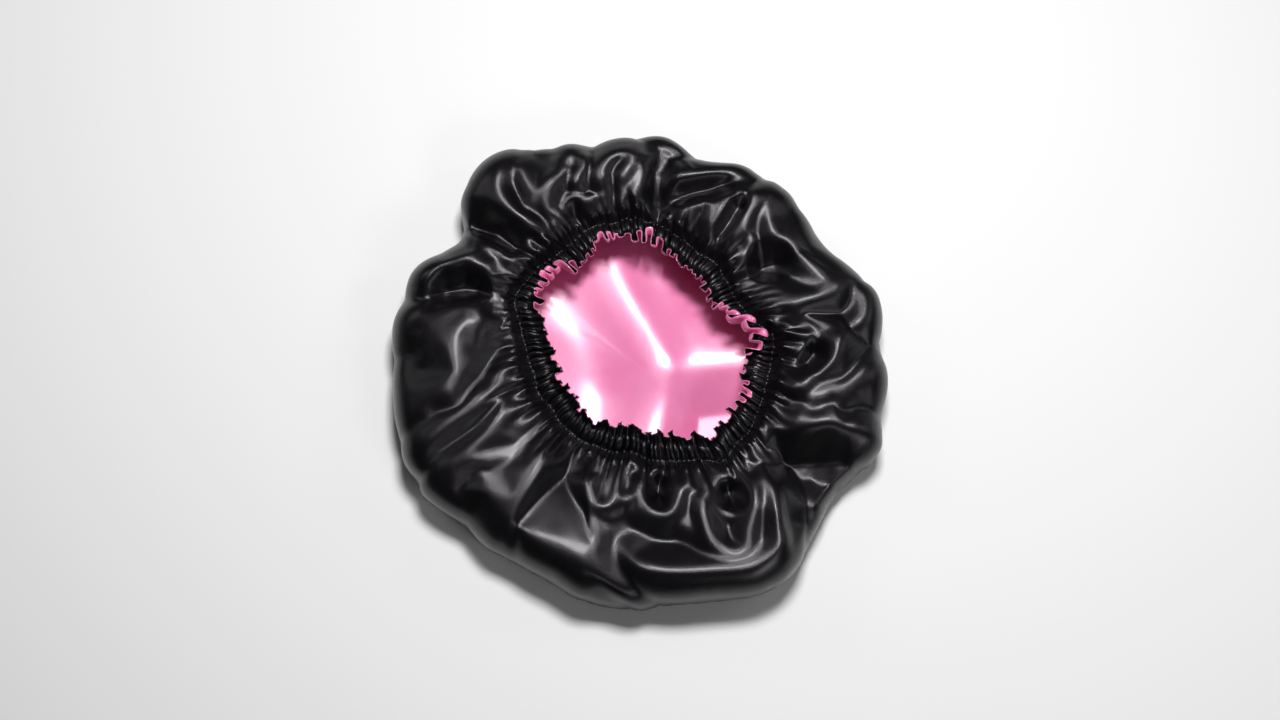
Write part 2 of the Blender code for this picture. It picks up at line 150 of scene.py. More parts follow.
FOLDS = (
    # the near side: the wide pouch, the lobes inside it and the sharp crease beside it
    Fold(Relief.RIDGE, 8.0, 40.0, 5.0, ((-39, -58), (-38, -80), (-36, -110), (-35, -132)), crest=1.5, taper=0.30),
    Fold(
        Relief.RIDGE, 9.2, 14.0, 16.0,
        ((-37, -60), (-38, -75), (-34, -90), (-26, -95), (-19, -90), (-15, -79), (-10, -69), (-3, -63)),
        crest=3.2,
    ),
    Fold(Relief.CREASE, 4.0, 6.4, 6.4, ((-3, -67), (-9, -74), (-10, -84)), crest=1.0),
    Fold(
        Relief.RIDGE, 10.5, 14.0, 22.0,
        ((10, -62), (3, -72), (0, -85), (5, -94), (15, -99), (23, -98), (27, -90), (30, -78), (36, -64)),
        crest=3.2,
    ),
    Fold(
        Relief.RIDGE, 11.8, 18.0, 18.0,
        ((43, -64), (43, -80), (46, -96), (50, -112), (56, -123), (63, -129), (71, -131), (79, -127), (81, -112),
         (84, -96), (86, -85), (83, -75), (77, -67), (69, -60)),
        crest=3.2,
    ),
    Fold(Relief.RIDGE, 8.0, 16.0, 15.0, ((23, -99), (35, -108), (45, -118), (55, -127), (64, -131)), crest=3.2),
    Fold(
        Relief.RIDGE, 8.0, 14.0, 14.0,
        ((48, -66), (49, -78), (53, -88), (60, -96), (70, -99), (79, -97), (84, -90)),
        crest=3.2,
    ),
    Fold(Relief.RIDGE, 5.5, 12.0, 12.0, ((56, -86), (57, -76), (62, -72), (70, -70)), crest=3.2),
    Fold(
        Relief.RIDGE, 14.2, 25.0, 18.0,
        ((-2, -108), (-13, -116), (-14, -125), (-5, -135), (6, -142), (18, -145), (35, -146), (55, -145),
         (80, -143), (91, -138), (99, -132), (104, -124), (105, -112), (104, -98), (101, -84), (96, -71),
         (90, -60), (82, -50), (74, -42)),
        crest=3.2,
    ),
    Fold(Relief.CREASE, 8.0, 22.4, 8.0, ((90, -62), (100, -71), (107, -86), (111, -104), (111, -122)), crest=1.0),
    Fold(Relief.CREASE, 7.0, 10.0, 10.0, ((67, -84), (69, -90)), crest=1.0, taper=0.0),
    Fold(Relief.CREASE, 7.0, 9.0, 9.0, ((13, -78), (14, -86)), crest=1.0, taper=0.0),
    # the near right: the dark slope and the step down to the flat panel
    Fold(
        Relief.RIDGE, 11.8, 22.0, 34.0,
        ((105, -33), (115, -29), (125, -33), (140, -34), (150, -40), (160, -42), (173, -44)),
    ),
    Fold(Relief.CREASE, 10.0, 24.0, 35.2, ((92, -60), (105, -62), (125, -63), (150, -62), (168, -66)), crest=1.0),
    Fold(Relief.RIDGE, 6.8, 12.0, 12.0, ((80, -43), (88, -55))),
    Fold(Relief.RIDGE, 8.0, 14.0, 14.0, ((90, -8), (98, -22), (106, -33))),
    Fold(
        Relief.RIDGE, 9.2, 18.0, 26.0,
        ((110, -16), (118, -14), (130, -13), (140, -7), (150, -7), (160, -2), (170, 5), (179, 7)),
    ),
    # the right: long ridges and the big puff with its inner loops
    Fold(Relief.RIDGE, 10.5, 26.0, 14.0, ((78, 50), (95, 53), (112, 55), (125, 58), (137, 61), (150, 66), (162, 68))),
    Fold(Relief.RIDGE, 8.0, 14.0, 18.0, ((162, 68), (168, 60), (169, 50), (166, 42), (158, 38))),
    Fold(
        Relief.RIDGE, 8.0, 10.0, 14.0,
        ((78, 46), (95, 47), (106, 48), (119, 46), (130, 42), (141, 39), (150, 38), (160, 38)),
    ),
    Fold(Relief.RIDGE, 6.8, 12.0, 12.0, ((93, 46), (94, 32), (99, 25))),
    Fold(Relief.RIDGE, 8.0, 12.0, 12.0, ((100, 31), (107, 33), (118, 31), (131, 31))),
    Fold(
        Relief.RIDGE, 8.0, 10.0, 10.0,
        ((100, 28), (108, 29), (117, 26), (119, 20), (115, 13), (108, 10), (102, 15)),
    ),
    Fold(
        Relief.RIDGE, 13.0, 22.0, 16.0,
        ((131, 31), (141, 30), (146, 25), (144, 15), (137, 8), (127, 2), (119, -3), (113, -4), (108, 0), (102, 8)),
    ),
    Fold(Relief.CREASE, 8.0, 9.0, 9.0, ((131, 19), (125, 12)), crest=1.0, taper=0.0),
    # the far right: the paired ridges, the deep hollow and the broad slope outside it
    Fold(Relief.RIDGE, 8.0, 14.0, 16.0, ((15, 150), (30, 150), (50, 152), (70, 152), (84, 149))),
    Fold(Relief.CREASE, 7.0, 8.0, 12.8, ((22, 138), (40, 141), (58, 144), (74, 147)), crest=1.0),
    Fold(
        Relief.RIDGE, 9.2, 16.0, 10.0,
        ((32, 102), (34, 114), (40, 124), (48, 130), (51, 124), (48, 113), (43, 104)),
    ),
    Fold(
        Relief.RIDGE, 10.5, 26.0, 12.0,
        ((48, 98), (52, 108), (58, 117), (63, 127), (68, 135), (73, 142), (79, 147)),
    ),
    Fold(Relief.CREASE, 6.0, 6.4, 6.4, ((54, 101), (62, 111), (70, 123), (78, 135)), crest=1.0),
    Fold(
        Relief.RIDGE, 10.5, 12.0, 22.0,
        ((55, 94), (65, 102), (73, 111), (79, 121), (84, 130), (90, 138), (94, 143)),
    ),
    Fold(Relief.RIDGE, 8.0, 22.0, 18.0, ((106, 137), (100, 129), (95, 122), (97, 112), (103, 105))),
    Fold(Relief.RIDGE, 8.0, 12.0, 12.0, ((58, 82), (69, 86), (78, 91), (81, 97), (79, 103), (68, 103))),
    Fold(Relief.CREASE, 10.0, 15.0, 15.0, ((93, 87), (101, 89)), crest=1.0, taper=0.0),
    Fold(Relief.RIDGE, 8.0, 34.0, 22.0, ((95, 108), (115, 102), (130, 84), (140, 68)), crest=11.0),
    # the far side: the crescent, the upright crease and the pinched folds
    Fold(
        Relief.RIDGE, 10.5, 16.0, 12.0,
        ((-23, 130), (-26, 144), (-28, 152), (-25, 160), (-19, 165), (-11, 166), (-8, 161), (-12, 152),
         (-16, 144), (-20, 134)),
    ),
    Fold(Relief.RIDGE, 9.2, 22.0, 16.0, ((-12, 127), (-5, 134), (2, 145), (5, 153), (7, 161))),
    Fold(Relief.CREASE, 8.0, 16.0, 6.4, ((11.5, 163), (11, 145), (9, 128)), crest=1.0),
    Fold(Relief.RIDGE, 10.5, 12.0, 10.0, ((-46, 168), (-44, 158), (-47, 148), (-47, 138)), crest=3.5),
    Fold(Relief.RIDGE, 9.2, 10.0, 14.0, ((-46, 168), (-52, 165), (-57, 159), (-57, 148))),
    Fold(Relief.RIDGE, 8.0, 10.0, 10.0, ((-56, 117), (-54, 128), (-48, 133), (-43, 131), (-42, 122)), crest=3.5),
    Fold(Relief.CREASE, 4.0, 6.4, 6.4, ((-48, 120), (-48, 127)), crest=1.0),
    Fold(Relief.RIDGE, 8.0, 10.0, 10.0, ((-37, 136), (-34, 126), (-28, 117)), crest=3.5),
    Fold(Relief.RIDGE, 8.0, 10.0, 10.0, ((-29, 139), (-25, 128), (-25, 116)), crest=3.5),
    # the far left: two long puffs and the loops between them
    Fold(
        Relief.RIDGE, 10.5, 14.0, 18.0,
        ((-52, 147), (-58, 148), (-64, 146), (-67, 140), (-68, 132), (-67, 124), (-62, 117), (-60, 110),
         (-60, 100)),
    ),
    Fold(Relief.RIDGE, 6.8, 22.0, 16.0, ((-73, 160), (-72, 145), (-72, 128), (-68, 112)), crest=10.0),
    Fold(
        Relief.RIDGE, 13.0, 14.0, 38.0,
        ((-94, 163), (-100, 155), (-105, 146), (-104, 137), (-99, 129), (-92, 122), (-84, 115), (-75, 107),
         (-68, 102), (-63, 96)),
    ),
    Fold(Relief.RIDGE, 9.2, 18.0, 12.0, ((-92, 163), (-88, 150), (-84, 140), (-80, 130), (-75, 119))),
    Fold(
        Relief.RIDGE, 8.0, 12.0, 18.0,
        ((-80, 113), (-87, 113), (-89, 108), (-88, 102), (-82, 97), (-75, 93), (-69, 89)),
    ),
    Fold(Relief.CREASE, 5.0, 6.4, 6.4, ((-84, 106), (-74, 100)), crest=1.0),
    Fold(Relief.CREASE, 11.0, 17.6, 9.6, ((-131, 116), (-118, 113), (-108, 107), (-96, 100), (-84, 91)), crest=1.0),
    Fold(Relief.RIDGE, 10.5, 10.0, 30.0, ((-116, 108), (-106, 101), (-98, 95), (-90, 88), (-85, 83)), crest=3.5),
    # the left: the dark hollow, the wide bands and the slanting ridges
    Fold(
        Relief.RIDGE, 13.0, 22.0, 14.0,
        ((-158, 58), (-159, 67), (-155, 73), (-148, 78), (-140, 80), (-135, 83), (-130, 85), (-125, 84),
         (-120, 80), (-113, 75), (-107, 68), (-98, 63)),
    ),
    Fold(
        Relief.RIDGE, 10.5, 18.0, 38.0,
        ((-166, 55), (-167, 47), (-161, 42), (-150, 43), (-142, 47), (-135, 51), (-127, 56), (-120, 59),
         (-112, 60)),
        crest=8.0,
    ),
    Fold(
        Relief.RIDGE, 6.8, 10.0, 10.0,
        ((-110, 52), (-113, 57), (-109, 60), (-103, 58), (-95, 53), (-88, 52)),
        crest=3.5,
    ),
    Fold(
        Relief.RIDGE, 13.0, 18.0, 54.0,
        ((-112, 53), (-118, 50), (-120, 43), (-119, 35), (-122, 26), (-126, 17), (-131, 9), (-137, 0), (-143, -9),
         (-147, -17), (-149, -25)),
        crest=9.0,
    ),
    Fold(Relief.RIDGE, 6.8, 10.0, 10.0, ((-112, 49), (-105, 48), (-98, 47), (-90, 48), (-80, 50)), crest=3.5),
    Fold(
        Relief.RIDGE, 8.0, 10.0, 12.0,
        ((-112, 37), (-108, 33), (-102, 32), (-95, 34), (-89, 38), (-83, 41)),
        crest=3.5,
    ),
    Fold(
        Relief.RIDGE, 11.8, 18.0, 20.0,
        ((-78, 28), (-84, 20), (-90, 13), (-95, 6), (-101, -1), (-107, -9), (-115, -15), (-124, -22), (-132, -28),
         (-141, -34), (-150, -41), (-158, -48), (-161, -55), (-160, -65), (-163, -75)),
    ),
    Fold(Relief.RIDGE, 5.5, 10.0, 10.0, ((-117, -2), (-122, -8), (-126, -16)), crest=3.5),
    Fold(Relief.RIDGE, 6.8, 14.0, 14.0, ((-175, -20), (-170, -22), (-163, -28), (-153, -31), (-142, -29))),
    Fold(
        Relief.RIDGE, 11.8, 50.0, 18.0,
        ((-91, -6), (-94, -16), (-98, -25), (-104, -32), (-110, -40), (-115, -46), (-122, -52), (-130, -58),
         (-140, -65), (-150, -71), (-160, -77)),
    ),
    Fold(Relief.CREASE, 9.0, 14.0, 14.0, ((-144, 66), (-122, 67)), crest=1.0, taper=0.0),
    # the near left: the smooth panel and the tall ridge that turns at a right angle
    Fold(
        Relief.RIDGE, 13.0, 14.0, 38.0,
        ((-64, -44), (-69, -58), (-76, -70), (-82, -80), (-87, -88), (-92, -97), (-97, -107), (-99, -116),
         (-95, -124)),
    ),
    Fold(
        Relief.RIDGE, 12.5, 52.0, 18.0,
        ((-95, -124), (-87, -123), (-83, -121), (-76, -125), (-68, -129), (-58, -134), (-48, -140), (-38, -147),
         (-32, -151)),
    ),
)

WRINKLES = (
    Wrinkle(
        0.0110, 0.020, 0.060,
        ((-0.034, 0.120), (-0.016, 0.066), (0.003, 0.028), (0.015, 0.002), (0.013, -0.020), (0.010, -0.045),
         (0.004, -0.090)),
    ),
    Wrinkle(0.0060, 0.018, 0.022, ((-0.006, 0.104), (0.010, 0.064), (0.028, 0.026))),
    Wrinkle(0.0100, 0.050, 0.026, ((-0.004, -0.006), (0.018, 0.002), (0.040, 0.004), (0.071, 0.008), (0.110, 0.014))),
    Wrinkle(0.0070, 0.040, 0.060, ((-0.105, 0.080), (-0.070, 0.040), (-0.046, 0.000), (-0.044, -0.070))),
)

FLIPS = (
    Flip(147.0, 13.0, 62.0),
    Flip(111.0, 8.0, 58.0),
    Flip(87.0, 6.0, 52.0),
    Flip(9.0, 15.0, 60.0),
    Flip(331.0, 6.0, 62.0),
)

SWAY_OUT = (Wave(0.0010, 9, 1.0), Wave(0.0008, 16, 0.4), Wave(0.0006, 23))
SWAY_UP = (Wave(0.0012, 7, 2.0), Wave(0.0010, 13), Wave(0.0008, 19, 1.3))
FRILL_LEAN = (Wave(9.0, 5, 0.7), Wave(7.0, 11))
FRILL_WIDTH = (Wave(0.10, 17), Wave(0.08, 29, 2.0))


def around(table: tuple[tuple[float, float], ...], angles: Array) -> Array:
    """Read a closed table of (angle, value) rows with a smooth curve through its points.

    Args:
        table: rows of an angle in degrees and a value.
        angles: the angles to read at, in degrees.

    Returns:
        The value at each angle.
    """
    at = np.array([row[0] for row in table], float)
    values = np.array([row[1] for row in table], float)
    slopes = (np.roll(values, -1) - np.roll(values, 1)) / ((np.roll(at, -1) - np.roll(at, 1)) % 360)
    wrapped = np.mod(angles, 360)
    before = np.searchsorted(at, wrapped, side="right") - 1
    after = (before + 1) % len(at)
    span = (at[after] - at[before]) % 360
    share = ((wrapped - at[before]) % 360) / span
    square, cube = share**2, share**3
    return (
        (2 * cube - 3 * square + 1) * values[before]
        + (cube - 2 * square + share) * slopes[before] * span
        + (3 * square - 2 * cube) * values[after]
        + (cube - square) * slopes[after] * span
    )


def smooth_step(low: float, high: float, value: Array) -> Array:
    """Rise smoothly from 0 at low to 1 at high."""
    share = np.clip((value - low) / (high - low), 0.0, 1.0)
    return share * share * (3 - 2 * share)


def waves(table: tuple[Wave, ...], turn: Array) -> Array:
    """Add up even waves round the ring."""
    return sum(wave.size * np.sin(wave.count * turn + wave.start) for wave in table)


def smooth_path(points: Array, steps: int = 8) -> Array:
    """Run a smooth line through points.

    Args:
        points: the points, one in each row.
        steps: how many short lines lie between two points.

    Returns:
        The points of the smooth line.
    """
    padded = np.vstack([2 * points[0] - points[1], points, 2 * points[-1] - points[-2]])
    share = np.linspace(0, 1, steps, endpoint=False)[:, None]
    parts = []
    for p0, p1, p2, p3 in zip(padded, padded[1:], padded[2:], padded[3:]):
        parts.append(
            0.5 * (2 * p1 + (p2 - p0) * share + (2 * p0 - 5 * p1 + 4 * p2 - p3) * share**2
                   + (3 * p1 - p0 - 3 * p2 + p3) * share**3)
        )
    return np.vstack(parts + [points[-1:]])


def fold_field(x: Array, y: Array, path: Array, left: float, right: float, crest: float, taper: float) -> Array:
    """Measure how strongly a fold is felt at each place, like cloth held up taut along a ridge.

    Args:
        x: the places' first coordinates.
        y: the places' second coordinates.
        path: the fold's smooth line in plan.
        left: width of its left flank.
        right: width of its right flank.
        crest: radius of its rounded crest.
        taper: share of its length over which each end dies away.

    Returns:
        A strength of 1 on the crest, falling to 0 beyond the flanks.
    """
    strength = np.zeros(x.shape)
    lengths = np.linalg.norm(np.diff(path, axis=0), axis=1)
    run = np.concatenate([[0], np.cumsum(lengths)]) / lengths.sum()
    for index, (start, end) in enumerate(zip(path, path[1:])):
        step = end - start
        share = np.clip(((x - start[0]) * step[0] + (y - start[1]) * step[1]) / (step @ step), 0, 1)
        dx, dy = x - start[0] - share * step[0], y - start[1] - share * step[1]
        side = (step[0] * dy - step[1] * dx) / np.hypot(*step)
        blend = smooth_step(-crest, crest, side)
        felt = 1 - (np.hypot(np.hypot(dx, dy), crest) - crest) / (left * blend + right * (1 - blend))
        along = run[index] + share * (run[index + 1] - run[index])
        ends = smooth_step(-0.02, taper, along) * smooth_step(-0.02, taper, 1 - along)
        strength = np.maximum(strength, felt * ends)
    return strength


class Gathers:
    """The uneven pleats that the elastic draws up, and how far each one runs into the crown."""

    def __init__(self, count: int, seed: int, reach: tuple[float, float]) -> None:
        """Share the circle among the pleats.

        Args:
            count: how many pleats there are.
            seed: seed of their unevenness.
            reach: the shortest and longest reach of a pleat.
        """
        chance = np.random.default_rng(seed)
        widths = chance.uniform(0.50, 1.60, count)
        self.count = count
        self.edges = np.concatenate([[0], np.cumsum(widths)]) * 360 / widths.sum()
        self.strength = chance.uniform(0.60, 1.20, count) * np.clip(widths / widths.mean(), 0.45, 1.30) ** 1.5
        self.reach = chance.uniform(*reach, count)
        self.lean = chance.uniform(-1.0, 1.0, count)

    def place(self, angles: Array) -> tuple[Array, Array]:
        """Find the pleat at each angle.

        Args:
            angles: the angles in degrees.

        Returns:
            The pleat's number and the share of its width at each angle.
        """
        wrapped = np.mod(angles, 360)
        index = np.clip(np.searchsorted(self.edges, wrapped, side="right") - 1, 0, self.count - 1)
        share = (wrapped - self.edges[index]) / (self.edges[index + 1] - self.edges[index])
        return index, share

    def mixed(self, values: Array, angles: Array) -> Array:
        """Blend one value of each pleat into the next pleat's over its width.

        Args:
            values: the value of each pleat.
            angles: the angles in degrees.

        Returns:
            The value at each angle.
        """
        index, share = self.place(angles)
        blend = share * share * (3 - 2 * share)
        return values[index] * (1 - blend) + values[(index + 1) % self.count] * blend

    def crest(self, angles: Array, power: float) -> Array:
        """Height of the pleats from -1 in their pinched valleys to 1 on their rounded crests."""
        _, share = self.place(angles)
        return 2 * np.sin(np.pi * share) ** power - 1

    def roll(self, angles: Array) -> Array:
        """Sideways swing over each pleat, which rolls its crest over the valleys."""
        _, share = self.place(angles)
        return np.sin(2 * np.pi * share)


@dataclass(frozen=True)
class FrillShape:
    """How unevenly the frill stands, in shares of its width or pitch where no unit is given."""

    toss_degrees: float = 24.0
    scallop: float = 0.30
    jitter: float = 0.10
    flip_length: float = 0.35
    flip_strength: float = 0.25
    swell: float = 0.36
    flip_swell: float = 0.50
    roll: float = 0.12
    tumble: float = 0.30
    nip_metres: float = 0.0010
    steps: int = 40


@dataclass
class Drape:
    """The shape that the cloth lies in, shared by the shell, the lining and what is sewn into them."""

    outline_radius: float = 0.180
    rim_height: float = 0.037
    rim_round: float = 0.019
    rim_slope: float = 0.011
    rim_start: float = 8.0
    puff_rise: float = 0.0040
    opening_radius: float = 0.076
    opening_shift: tuple[float, float] = (0.0035, 0.0145)
    seam_height: float = 0.032
    seam_inset: float = 0.008
    seam_tilt: float = 52.0
    guess_height: float = 0.036
    guess_swell: float = 0.010
    guess_casing: float = 0.0165
    channel_width: float = 0.012
    channel_tilt: float = 24.0
    frill_width: float = 0.0090
    frill_tilt: float = 54.0
    floor: float = 0.0006
    pucker: float = 0.0009
    crimp: float = 0.0008
    channel_arch: float = 0.0010
    pleat_rise: float = 0.0036
    pleat_swing: float = 0.15
    bulge_rise: float = 0.0022
    bulge_swing: float = 0.25
    fold_blend: int = 6
    frill: FrillShape = FrillShape()
    columns: int = 1088
    outline_checks: int = 68
    puckers: Gathers = field(default_factory=lambda: Gathers(76, 7, (0.06, 0.22)))
    crimps: Gathers = field(default_factory=lambda: Gathers(131, 11, (0.03, 0.08)))
    bulges: Gathers = field(default_factory=lambda: Gathers(37, 19, (0.08, 0.24)))
    nips: Gathers = field(default_factory=lambda: Gathers(150, 5, (0.02, 0.04)))

    def __post_init__(self) -> None:
        """Work out what the rows share: the columns, the plan's middle, the folds' lines and the flips."""
        self.angles = np.arange(self.columns) * 360 / self.columns
        coarse = np.arange(self.outline_checks) * 360 / self.outline_checks
        share = around(OUTLINE, coarse)
        xs, ys = share * np.cos(np.radians(coarse)), share * np.sin(np.radians(coarse))
        self.centre = self.outline_radius * np.array([xs.max() + xs.min(), ys.max() + ys.min()]) / 2
        self.lines = [smooth_path(self.seen(np.array(fold.path, float) / 1000), 5) for fold in FOLDS]
        self.flip = np.zeros(self.columns)
        self.flip_lean = np.zeros(self.columns)
        for flip in FLIPS:
            away = (self.angles - flip.angle + 180) % 360 - 180
            felt = np.exp(-np.abs(away / flip.spread) ** 3)
            self.flip = np.maximum(self.flip, felt)
            self.flip_lean = self.flip_lean + flip.lean * felt

    def outward(self, angles: Array) -> Array:
        """Level directions away from the middle."""
        turn = np.radians(angles)
        return np.stack([np.cos(turn), np.sin(turn), np.zeros_like(turn)], axis=-1)

    def sideways(self, angles: Array) -> Array:
        """Level directions along the ring."""
        turn = np.radians(angles)
        return np.stack([-np.sin(turn), np.cos(turn), np.zeros_like(turn)], axis=-1)

    def seen(self, points: Array) -> Array:
        """Find the plan places on the gathered top that are seen at points of the plane facing the viewer.

        Args:
            points: points of the facing plane in metres.

        Returns:
            The plan places in metres.
        """
        reach = np.full(len(points), 0.5)
        for _ in range(5):
            height = self.guess_height + self.guess_swell * np.sin(np.pi * np.clip(reach, 0.0, 0.9))
            place = VIEW.place(points, height)[:, :2]
            away = place + self.centre
            angles = np.degrees(np.arctan2(away[:, 1], away[:, 0]))
            shift = self.outward(angles)[:, :2] @ np.array(self.opening_shift)
            inner = self.opening_radius * around(OPENING, angles) + self.guess_casing + shift
            outer = self.outline_radius * around(OUTLINE, angles)
            reach = np.clip((np.linalg.norm(away, axis=1) - inner) / (outer - inner), 0.0, 1.1)
        return place

    def sway(self, angles: Array) -> tuple[Array, Array]:
        """How far the casing wanders outwards and upwards as it runs round."""
        turn = np.radians(angles)
        return waves(SWAY_OUT, turn), waves(SWAY_UP, turn)

    def channel(self, angles: Array, share: float) -> Array:
        """Lay one ring of the casing, with its puckers.

        Args:
            angles: the angles in degrees.
            share: 0 at its outer stitch row and 1 at its inner one.

        Returns:
            The ring's points.
        """
        tilt, seam_tilt = math.radians(self.channel_tilt), math.radians(self.seam_tilt)
        edge = self.opening_radius * around(OPENING, angles)
        out, up = self.sway(angles)
        outer = edge + self.seam_inset * math.cos(seam_tilt) + self.channel_width * math.cos(tilt) + out
        radius = outer - self.channel_width * share * math.cos(tilt)
        point = radius[:, None] * self.outward(angles)
        point[:, 0] += self.opening_shift[0] - self.centre[0]
        point[:, 1] += self.opening_shift[1] - self.centre[1]
        point[:, 2] = self.seam_height + self.channel_width * share * math.sin(tilt) + up
        bulge = math.sin(math.pi * share)
        height = self.gathered(angles + 1.1 * bulge * self.crimps.mixed(self.crimps.lean, angles), 1 + 0.45 * bulge)
        height = height + self.channel_arch * bulge**0.7
        return point + self.across(angles, np.full(angles.shape, self.channel_tilt)) * height[:, None]

    def gathered(self, angles: Array, growth: float) -> Array:
        """Work out the height of the casing's puckers and of the finer crimps on them.

        Args:
            angles: the angles in degrees.
            growth: how much higher than at the stitch rows they are.

        Returns:
            The height at each angle.
        """
        coarse = self.pucker * self.puckers.mixed(self.puckers.strength, angles) * self.puckers.crest(angles, 0.8)
        fine = self.crimp * self.crimps.mixed(self.crimps.strength, angles) * self.crimps.crest(angles, 0.8)
        return (coarse + fine) * growth

    def across(self, angles: Array, tilt: Array) -> Array:
        """Directions square to cloth that climbs inwards at a tilt in degrees."""
        turn = np.radians(tilt)[:, None]
        return self.outward(angles) * np.sin(turn) + np.array([0, 0, 1.0]) * np.cos(turn)

    def frill_rows(self, rows: int) -> list[Array]:
        """Lay the frill's rows from its edge down to the inner stitch row, without the stitch row itself.

        Args:
            rows: how many rows the frill has.

        Returns:
            The rows' points.
        """
        angles, turn, frill = self.angles, np.radians(self.angles), self.frill
        puckers, bulges, crimps = self.puckers, self.bulges, self.crimps
        lean = self.frill_tilt + self.flip_lean + waves(FRILL_LEAN, turn)
        lean = lean + frill.toss_degrees * puckers.mixed(puckers.lean, angles)
        scallop = -frill.scallop * bulges.crest(angles, 0.9) * bulges.mixed(bulges.strength, angles)
        jitter = frill.jitter * crimps.mixed(crimps.lean, angles)
        width = self.frill_width * (1 + waves(FRILL_WIDTH, turn))
        width = width * (1 + scallop + jitter + frill.flip_length * self.flip)
        strength = puckers.mixed(puckers.strength, angles) * (1 + frill.flip_strength * self.flip)
        pitch = 2 * math.pi * self.opening_radius / puckers.count
        phase = 2 * np.pi * puckers.place(angles)[1]
        wave = -np.cos(phase) + 0.10 * np.cos(3 * phase)
        roll = frill.roll * pitch * strength * np.sin(2 * phase)
        nip = self.nips.mixed(self.nips.lean, angles) * frill.nip_metres
        swell = pitch * (frill.swell + frill.flip_swell * self.flip)
        tumble = frill.tumble * pitch * bulges.mixed(bulges.lean, angles)
        point = self.channel(angles, 1.0)
        start_wave = self.gathered(angles, 1.0)
        made = []
        for step in range(1, frill.steps + 1):
            share = (step - 0.5) / frill.steps
            tilt = self.channel_tilt + (lean - self.channel_tilt) * share**0.55
            turned = np.radians(tilt)[:, None]
            along = np.array([0, 0, 1.0]) * np.sin(turned) - self.outward(angles) * np.cos(turned)
            point = point + along * (width / frill.steps)[:, None]
            if step % (frill.steps // rows) == 0:
                share = step / frill.steps
                height = wave * strength * swell * share**0.75 - start_wave * share + nip * share
                lifted = point + self.across(angles, tilt) * height[:, None]
                made.append(lifted + self.sideways(angles) * ((roll + tumble) * share)[:, None])
        return made[::-1]

    def relief(self, points: Array) -> Array:
        """Work out the height that the named folds add.

        Args:
            points: points of the top or the rim.

        Returns:
            The height at each point, less than 0 in a crease.
        """
        x, y = points[..., 0], points[..., 1]
        up, down = np.zeros(x.shape), np.zeros(x.shape)
        for fold, line in zip(FOLDS, self.lines):
            rise, left, right, crest = (size / 1000 for size in (fold.rise, fold.left, fold.right, fold.crest))
            reach = max(left, right) + 2 * crest
            low, high = line.min(axis=0) - reach, line.max(axis=0) + reach
            near = (x > low[0]) & (x < high[0]) & (y > low[1]) & (y < high[1])
            strength = fold_field(x[near], y[near], line, left, right, crest, fold.taper)
            target = up if fold.relief is Relief.RIDGE else down
            target[near] += (rise * strength) ** self.fold_blend
        return up ** (1 / self.fold_blend) - down ** (1 / self.fold_blend)

    def pleats(self, angles: Array, reach: float) -> tuple[Array, Array]:
        """Work out what the gathers add to one ring of the top.

        Args:
            angles: the angles in degrees.
            reach: 0 at the casing's stitch row and 1 at the rim's shoulder.

        Returns:
            The height and the sideways swing at each angle.
        """
        far = self.puckers.mixed(self.puckers.reach, angles)
        strength = self.puckers.mixed(self.puckers.strength, angles)
        rise = self.pleat_rise * float(smooth_step(0.0, 0.06, np.array(reach)))
        fine = rise * np.exp(-((reach / far) ** 1.6)) * strength
        wide_far = self.bulges.mixed(self.bulges.reach, angles)
        wide_strength = self.bulges.mixed(self.bulges.strength, angles)
        grow = float(smooth_step(0.0, 0.14, np.array(reach)))
        wide = self.bulge_rise * grow * np.exp(-((reach / wide_far) ** 2)) * wide_strength
        height = fine * self.puckers.crest(angles, 0.8) + wide * self.bulges.crest(angles, 0.75)
        height = height + self.gathered(angles, math.exp(-((reach / 0.07) ** 2)))
        swing = self.pleat_swing * fine * self.puckers.roll(angles) + self.bulge_swing * wide * self.bulges.roll(angles)
        return height, swing

    def top_row(self, reach: float) -> tuple[Array, Array]:
        """One ring of the gathered top, before its named folds.

        Args:
            reach: 0 at the casing's stitch row and 1 at the rim's shoulder.

        Returns:
            The ring's points and the directions in which folds lift them.
        """
        angles = self.angles
        lift = self.across(angles, np.full(angles.shape, self.channel_tilt * (1 - reach) ** 2))
        casing = self.across(angles, np.full(angles.shape, self.channel_tilt))
        flat = self.channel(angles, 0.0) - casing * self.gathered(angles, 1.0)[:, None]
        shoulder = self.rim_row(0.0)[0]
        point = flat * (1 - reach) + shoulder * reach
        point[:, 2] += self.puff_rise * math.sin(math.pi * reach**0.9)
        return point, lift

    def rim_row(self, share: float) -> tuple[Array, Array]:
        """One ring of the rolled rim, from its shoulder at 0 round to its foot at 1.

        Args:
            share: how far round the rim the ring lies.

        Returns:
            The ring's points and the directions in which folds lift them.
        """
        angles = self.angles
        turn = math.radians(self.rim_start + (180 - self.rim_start) * share)
        half = self.rim_height / 2
        if turn < math.pi / 2:
            inset, height = self.rim_slope * (1 - math.sin(turn)), half * (1 + math.cos(turn))
            lift = (math.sin(turn) / self.rim_slope, math.cos(turn) / half)
        else:
            inset, height = self.rim_round * (1 - math.sin(turn)), half * (1 + math.cos(turn))
            lift = (math.sin(turn) / self.rim_round, math.cos(turn) / half)
        radius = self.outline_radius * around(OUTLINE, angles) - self.floor - inset
        point = radius[:, None] * self.outward(angles)
        point[:, :2] -= self.centre
        point[:, 2] = self.floor + height * (1 - self.floor / self.rim_height)
        length = math.hypot(*lift)
        direction = self.outward(angles) * lift[0] / length + np.array([0, 0, lift[1] / length])
        return point, direction


